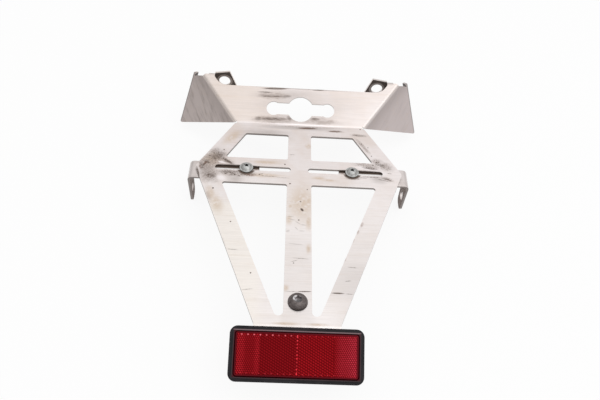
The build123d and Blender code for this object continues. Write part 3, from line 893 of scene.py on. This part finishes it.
def button_screw(name, replaced, finish, sizes):
    """A button-head screw with a hexagon socket and a threaded shank."""
    low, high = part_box(replaced)
    middle = (low + high) / 2
    place = Matrix.Translation((middle.x, middle.y, 0))
    shank, dome, crown, skirt, skirt_thick, key, key_deep, pitch = (size * mm for size in sizes)
    head = high.z
    tip = low.z
    ease = 0.12 * mm
    lead = 0.25 * mm
    rings = [round_ring(shank / 2 - tip_ease, tip)]
    rings += thread_rings(shank / 2, pitch, tip + thread_lead, -3 * ease)
    rings += [round_ring(shank / 2, -ease), round_ring(skirt / 2 - ease, 0), round_ring(skirt / 2, ease)]
    rings += [round_ring(skirt / 2, skirt_thick - ease), round_ring(skirt / 2 - ease, skirt_thick)]
    if skirt > dome:
        rings.append(round_ring(dome / 2 + ease, skirt_thick + ease / 2))
    rise = head - skirt_thick
    centre = ((crown / 2) ** 2 + rise**2 - (dome / 2) ** 2) / (2 * rise)
    radius = sqrt((dome / 2) ** 2 + centre**2)
    start = asin(-centre / radius)
    end = asin((rise - centre) / radius)
    for part in range(1, dome_steps + 1):
        a = start + (end - start) * part / dome_steps
        rings.append(round_ring(radius * cos(a), skirt_thick + centre + radius * sin(a)))
    rings.append(round_ring(key / 2 / cos(pi / 6) + lead, head))
    rings.append(hex_ring(key, head - 2 * lead))
    rings.append(hex_ring(key, head - key_deep))
    skin(name, rings, place, finish, replaced)


m5_screw = (5.0, 9.4, 4.9, 12.0, 0.9, 3.0, 1.6, 0.8)
m8_screw = (8.0, 14.8, 6.6, 14.8, 0.8, 5.0, 2.6, 1.25)
for hand in ("left", "right"):
    button_screw(f"slot_button_{hand}", f"slot_screw_{hand}", zinc_finish, m5_screw)
button_screw("plate_dome", "plate_screw", dark_finish, m8_screw)
print("screws", 3)

# %% [markdown]
# Nuts and washers sit behind the sheet. A nut's corners are cut by a cone at both faces,
# which leaves the curved lines that every nut has, and a stamped washer has one rolled edge.
# Those behind the reflector lean with its tab, so their axis is the tab's own.

# %% Nuts, washers and the stud
tab_lean = 28.0
tab_turn = Matrix.Rotation(radians(tab_lean), 4, "X")
nut_rows = 12
nut_lead = 0.3 * mm
cone_start = 0.96
cone_slope = 1.73
roll_steps = 4
roll_share = 0.35
washer_ease = 0.08 * mm
stud_half = 11.5 * mm
stud_radius = 2.5 * mm
stud_tip = 2.0 * mm
stud_pitch = 0.8 * mm


def axis_place(node, leaning):
    """The frame of a fastener: the middle of its solid, along the axis that it turns on."""
    low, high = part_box(node)
    place = Matrix.Translation((low + high) / 2)
    return place @ tab_turn if leaning else place


def nut(name, replaced, flats, high, bore, leaning=False):
    """A hexagon nut with its corners cut by a cone at both faces."""
    flats, high, bore = flats * mm, high * mm, bore * mm
    rings = []
    for row in range(nut_rows + 1):
        at = -high / 2 + high * row / nut_rows
        cone = flats / 2 * cone_start + (high / 2 - abs(at)) * cone_slope
        rings.append(ring_of([min(cone, hex_reach(a, flats)) for a in turns], at))
    rings += [round_ring(bore / 2 + nut_lead, high / 2), round_ring(bore / 2, high / 2 - nut_lead)]
    rings += [round_ring(bore / 2, nut_lead - high / 2), round_ring(bore / 2 + nut_lead, -high / 2)]
    skin(name, rings, axis_place(replaced, leaning), zinc_finish, replaced, ends=False)


def washer(name, replaced, wide, thick, bore, leaning=False):
    """A stamped washer, rolled at its upper edge and slightly eased at the lower."""
    wide, thick, bore = wide * mm, thick * mm, bore * mm
    roll = roll_share * thick
    ease = washer_ease
    rings = [round_ring(bore / 2, -thick / 2), round_ring(wide / 2 - roll, -thick / 2)]
    for part in range(1, roll_steps + 1):
        a = pi / 2 * part / roll_steps
        rings.append(round_ring(wide / 2 - roll * (1 - sin(a)), -thick / 2 + roll * (1 - cos(a))))
    rings += [round_ring(wide / 2, thick / 2 - ease), round_ring(wide / 2 - ease, thick / 2)]
    rings += [round_ring(bore / 2, thick / 2)]
    skin(name, rings, axis_place(replaced, leaning), zinc_finish, replaced, ends=False)


for hand in ("left", "right"):
    washer(f"slot_disc_{hand}", f"slot_washer_{hand}", 10.0, 1.0, 5.5)
    nut(f"slot_hex_{hand}", f"slot_nut_{hand}", 8.0, 4.0, 5.2)
washer("plate_disc", "plate_washer", 16.0, 1.6, 8.6)
nut("plate_hex", "plate_nut", 13.0, 6.5, 8.2)
washer("reflector_disc", "reflector_washer", 10.0, 1.0, 5.5, leaning=True)
nut("reflector_hex", "reflector_nut", 8.0, 4.0, 5.2, leaning=True)

stud_rings = [round_ring(stud_tip, -stud_half)]
stud_rings += thread_rings(stud_radius, stud_pitch, thread_lead - stud_half, stud_half)
skin(
    "reflector_thread", stud_rings, axis_place("reflector_stud", True),
    zinc_finish, "reflector_stud",
)
print("nuts and washers", 8)

# %% [markdown]
# The reflector's tray is moulded in black plastic with a satin skin, now dusty.
# Dust lies on what faces up, so the facing of the surface decides where it settles.
# Its solid has the stepped rim already, so only the edges are eased.

# %% Black tray
tray_black = (0.011, 0.010, 0.012)
tray_dust = (0.04, 0.034, 0.038)
ridge_lit = (0.24, 0.165, 0.175)
ridge_red = (0.06, 0.008, 0.012)
tray_wide = 94.0
tray_high = 37.5
ridge_in = 2.4
ridge_wide = 0.75
tray_low, tray_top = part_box("reflector_housing")
tray_middle = (tray_low + tray_top) / 2
tray_ease = 0.5 * mm


def leaned(spot, middle):
    """Places in the frame of the leaning tab, about a middle."""
    sockets = {"Vector": spot, "Location": middle / mm, "Rotation": (radians(tab_lean), 0, 0)}
    return add(spot.id_data, "ShaderNodeMapping", sockets, vector_type="TEXTURE").outputs[0]


def satin_plastic(name):
    """Black moulded plastic, dusty on top, with a ridge round the lens painted light, most along its
    upper side.
    """
    material, shader, spot, facing = new_finish(name)
    face_z = parts(facing)["Z"]
    grainy = noise(spot, 3.0, 4.0)
    cloud = noise(spot, 0.12, 5.0)
    dust = times(step(face_z, 0.2, 0.95), step(cloud, 0.3, 0.75))
    colour = tint(times(dust, 0.5), tray_black, tray_dust)
    x, y, _ = parts(leaned(spot, tray_middle))
    in_x = maths("SUBTRACT", tray_wide / 2, maths("ABSOLUTE", x))
    in_y = maths("SUBTRACT", tray_high / 2, maths("ABSOLUTE", y))
    inset = maths("MINIMUM", in_x, in_y)
    ridge = step(inset, ridge_in - 0.3, ridge_in + 0.1)
    # painted highlight: the ridge is lighter, most along its upper side
    upper = times(step(y, 6.0, 14.0), step(maths("SUBTRACT", in_x, in_y), -0.6, 0.6))
    upper = scaled(upper, 0.75, 0.12)
    colour = tint(times(ridge, upper), colour, ridge_lit)
    inner = step(inset, ridge_in + ridge_wide - 0.2, ridge_in + ridge_wide + 0.1)
    colour = tint(inner, colour, ridge_red)
    rough = scaled(grainy, 0.2, 0.32)
    wire(shader, {"Base Color": colour, "Roughness": rough, "Specular IOR Level": 0.16})
    bumped(shader, grainy, 0.03 * mm, 0.3)
    return material


tray_finish = satin_plastic("satin_black_plastic")
dress("reflector_housing", tray_finish)
ease_edges(nodes["reflector_housing"], tray_ease)
print("tray dressed")

# %% [markdown]
# The lens is a field of cube-corner prisms, which is what makes a reflector shine.
# On a grid of triangles, three heights in turn give exactly that form: every three neighbours are a
# low, a middle and a high point, and the slopes between them meet at right angles in a full-depth prism.
# Here it is shallower. The field has four panels with the prisms turned differently, so each panel
# catches the light in its own way, and rows of small bright domes mark the edges and the middle.

# %% Lens finishes
lens_low, lens_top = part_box("reflector_lens")
lens_middle = (lens_low + lens_top) / 2
lens_left = (0.205, 0.0038, 0.0070)
lens_right = (0.285, 0.0049, 0.0088)
lens_facet_shade = (0.152, 0.0022, 0.0042)
outer_left_lit = (0.40, 0.013, 0.021)
outer_right_lit = (0.52, 0.034, 0.058)
lens_border = (0.10, 0.006, 0.010)
dot_lit_pink = (0.74, 0.13, 0.16)
dot_red = (0.72, 0.03, 0.045)
dot_dim = (0.36, 0.014, 0.022)
zone_edge = 26.0
border_x = 41.6
border_y = 13.7


def red_plastic(name):
    """Red prism plastic with painted light: each prism lighter or darker by its facing, and four zones of
    their own brightness, with bright bands at the left end.
    """
    material, shader, spot, facing = new_finish(name)
    local = leaned(spot, lens_middle)
    x, y, _ = parts(local)
    side = maths("ABSOLUTE", x)
    cloud = noise(local, 0.1, 4.0)
    fine = noise(local, 1.2, 3.0)
    # painted light and shade: each prism's red follows its facing, and each zone has its own brightness
    slope_x, slope_y, _ = parts(facing)
    slope = scaled(slope_x, 0.8, slope_y)
    facet_lit = step(scaled(fine, 0.3, slope), -0.75, 0.1)
    bands = step(maths("SINE", scaled(side, -0.45, 0.6)), -0.6, 0.9)
    bands = scaled(bands, 0.75, 0.2)
    left_lit_bands = times(bands, step(x, 1 - zone_edge, -1 - zone_edge))
    rise = scaled(step(x, zone_edge + 7, zone_edge + 14), 0.5, 0.5)
    right_lit_end = times(rise, step(x, zone_edge - 1, zone_edge + 6))
    outer = most(left_lit_bands, right_lit_end)
    right = step(x, -1.0, 1.0)
    inner_tone = tint(right, lens_left, lens_right)
    bright = tint(outer, inner_tone, tint(right, outer_left_lit, outer_right_lit))
    depth = maths("MULTIPLY", facet_lit, scaled(cloud, 0.7, 0.45), clamp=True)
    colour = tint(depth, lens_facet_shade, bright)
    past_end = maths("SUBTRACT", side, border_x)
    past_edge = maths("SUBTRACT", maths("ABSOLUTE", y), border_y)
    colour = tint(step(most(past_end, past_edge), -0.1, 0.4), colour, lens_border)
    rough = scaled(fine, 0.15, 0.28)
    wire(shader, {"Base Color": colour, "Metallic": 0.9, "Roughness": rough, "Specular IOR Level": 0.2})
    return material


def bright_plastic(name):
    """The red of the small domes, with painted light: palest at the upper left, brighter down the middle,
    dim elsewhere.
    """
    material, shader, spot, _ = new_finish(name)
    x, y, _ = parts(leaned(spot, lens_middle))
    middle = step(maths("ABSOLUTE", x), 1.5, 1.0)
    # painted light: the domes are palest at the upper left and brighter down the middle
    lit_upper_left = times(step(x, 2.0, -6.0), step(y, 8.0, 11.0))
    colour = tint(lit_upper_left, tint(middle, dot_dim, dot_red), dot_lit_pink)
    uneven = step(noise(spot, 0.2, 2.0), 0.3, 0.6)
    colour = tint(uneven, dot_dim, colour)
    wire(shader, {"Base Color": colour, "Metallic": 0.9, "Roughness": 0.25})
    return material


lens_finish = red_plastic("prism_red")
dot_finish = bright_plastic("bright_red")
print("lens finishes ready")

# %% [markdown]
# The prisms fill panels that are cut square at their borders. An array of one prism could do it too,
# but a grid of heights gives the whole panel at once, without doubled edges.

# %% Prism panels
lens_wide = 86.6 * mm
lens_high = 30.6 * mm
lens_thick = 3.6 * mm
lens_corner = 2.2 * mm
rim_ease = 0.5 * mm
border = 1.5 * mm
fine_pitch = 0.85 * mm
wide_pitch = 1.08 * mm
prism_slope = 0.16
prism_deep = 0.6 * mm
corner_steps = 6
least_bend = 0.3 * mm
wall_lean = 0.2 * mm
panel_drop = 0.2 * mm
rib = 0.15 * mm


def rounded(inset, height):
    """A rounded rectangle, inset from the lens's outline."""
    half_x = lens_wide / 2 - inset
    half_y = lens_high / 2 - inset
    bend = max(lens_corner - inset, least_bend)
    points = []
    for corner, (sx, sy) in enumerate(((1, 1), (-1, 1), (-1, -1), (1, -1))):
        for part in range(corner_steps + 1):
            a = pi / 2 * (corner + part / corner_steps)
            across = sx * (half_x - bend) + bend * cos(a)
            points.append((across, sy * (half_y - bend) + bend * sin(a), height))
    return points


def prism_panel(form, left, right, low, high, top, pitch, turned):
    """A panel of cube-corner prisms between two edges, cut square at its border."""
    patch = bmesh.new()
    row_step = pitch * sqrt(3) / 2
    reach_x = (right - left) / 2
    reach_y = (high - low) / 2
    reach = reach_y if turned else reach_x
    other = reach_x if turned else reach_y
    columns = int(reach / pitch) + 2
    lines = int(other / row_step) + 2
    middle = Vector(((left + right) / 2, (low + high) / 2, 0))
    grid = {}
    for j in range(-lines, lines + 1):
        for i in range(-columns, columns + 1):
            u = (i + (j % 2) / 2) * pitch
            v = j * row_step
            rise = (i - (j // 2) - j) % 3
            flat = Vector((v, u, 0)) if turned else Vector((u, v, 0))
            grid[i, j] = patch.verts.new(middle + flat + Vector((0, 0, top - rise * prism_slope * pitch)))
    for j in range(-lines, lines):
        for i in range(-columns, columns):
            a, b = grid[i, j], grid[i + 1, j]
            c, d = grid[i, j + 1], grid[i + 1, j + 1]
            triangles = ((a, b, d), (a, d, c)) if j % 2 else ((a, b, c), (b, d, c))
            for triangle in triangles:
                patch.faces.new(triangle)
    borders = (
        ((left, 0, 0), (-1, 0, 0)), ((right, 0, 0), (1, 0, 0)),
        ((0, low, 0), (0, -1, 0)), ((0, high, 0), (0, 1, 0)),
    )
    for point, outward in borders:
        geometry = patch.verts[:] + patch.edges[:] + patch.faces[:]
        bmesh.ops.bisect_plane(patch, geom=geometry, plane_co=point, plane_no=outward, clear_outer=True)
    bmesh.ops.recalc_face_normals(patch, faces=patch.faces)
    if sum(face.normal.z for face in patch.faces) < 0:
        bmesh.ops.reverse_faces(patch, faces=patch.faces)
    spare = bpy.data.meshes.new("panel")
    patch.to_mesh(spare)
    patch.free()
    form.from_mesh(spare)
    bpy.data.meshes.remove(spare)


print("prisms", round(fine_pitch / mm, 2), "and", round(wide_pitch / mm, 2), "mm apart")

# %% [markdown]
# The lens is built flat, in its own frame, then leaned onto the tab. Its middle comes from the solid.
# The body is a rounded slab with an eased rim, sunk at the top, where the prism panels lie.

# %% Prism lens
lens_place = Matrix.Translation(lens_middle) @ tab_turn
form = bmesh.new()
face_height = lens_thick / 2
outlines = [
    rounded(rim_ease, -face_height),
    rounded(0, rim_ease - face_height),
    rounded(0, face_height - rim_ease),
    rounded(rim_ease, face_height),
    rounded(border, face_height),
    rounded(border + wall_lean, face_height - prism_deep),
]
rows = [[form.verts.new(p) for p in outline] for outline in outlines]
for lower, upper in zip(rows, rows[1:]):
    for i in range(len(lower)):
        j = (i + 1) % len(lower)
        form.faces.new((lower[i], lower[j], upper[j], upper[i]))
form.faces.new(reversed(rows[0]))
form.faces.new(rows[-1])
bmesh.ops.recalc_face_normals(form, faces=form.faces)

end_edge = lens_wide / 2 - border
panel_edges = (-end_edge, -zone_edge * mm, 0.0, zone_edge * mm, end_edge)
panel_top = face_height - panel_drop
field_half = lens_high / 2 - border
for index, (left, right) in enumerate(zip(panel_edges, panel_edges[1:])):
    outer = index in (0, 3)
    pitch = fine_pitch if outer else wide_pitch
    prism_panel(form, left + rib, right - rib, -field_half, field_half, panel_top, pitch, turned=outer)
bmesh.ops.transform(form, matrix=lens_place, verts=form.verts)
lens = new_piece("prism_lens", form, lens_finish)
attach(lens, "root")
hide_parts("reflector_lens")
print("prism lens", len(lens.data.polygons), "faces")

# %% [markdown]
# Rows of small domes run along the long edges, and a closer row stands down the middle.
# On the real lens these are the ends of the moulding pins, and each one throws a bright point of light.

# %% Lens domes
dome_pitch = 4.3 * mm
middle_pitch = 2.4 * mm
dome_radius = 0.7 * mm
dome_rise = 0.3 * mm
dome_row = field_half - 0.9 * mm
form = bmesh.new()
places = []
count = int((end_edge - dome_radius) / dome_pitch)
for i in range(-count, count + 1):
    places += [(i * dome_pitch, dome_row), (i * dome_pitch, -dome_row)]
count = int((field_half - dome_radius) / middle_pitch)
places += [(0.0, i * middle_pitch) for i in range(-count, count + 1)]
for x, y in places:
    at = Matrix.Translation((x, y, panel_top - dome_rise / 2))
    at = at @ Matrix.Diagonal((1, 1, dome_rise / dome_radius, 1))
    bmesh.ops.create_icosphere(form, subdivisions=2, radius=dome_radius, matrix=lens_place @ at)
for face in form.faces:
    face.smooth = True
domes = new_piece("lens_domes", form, dot_finish)
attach(domes, "root")
print("lens domes", len(places))
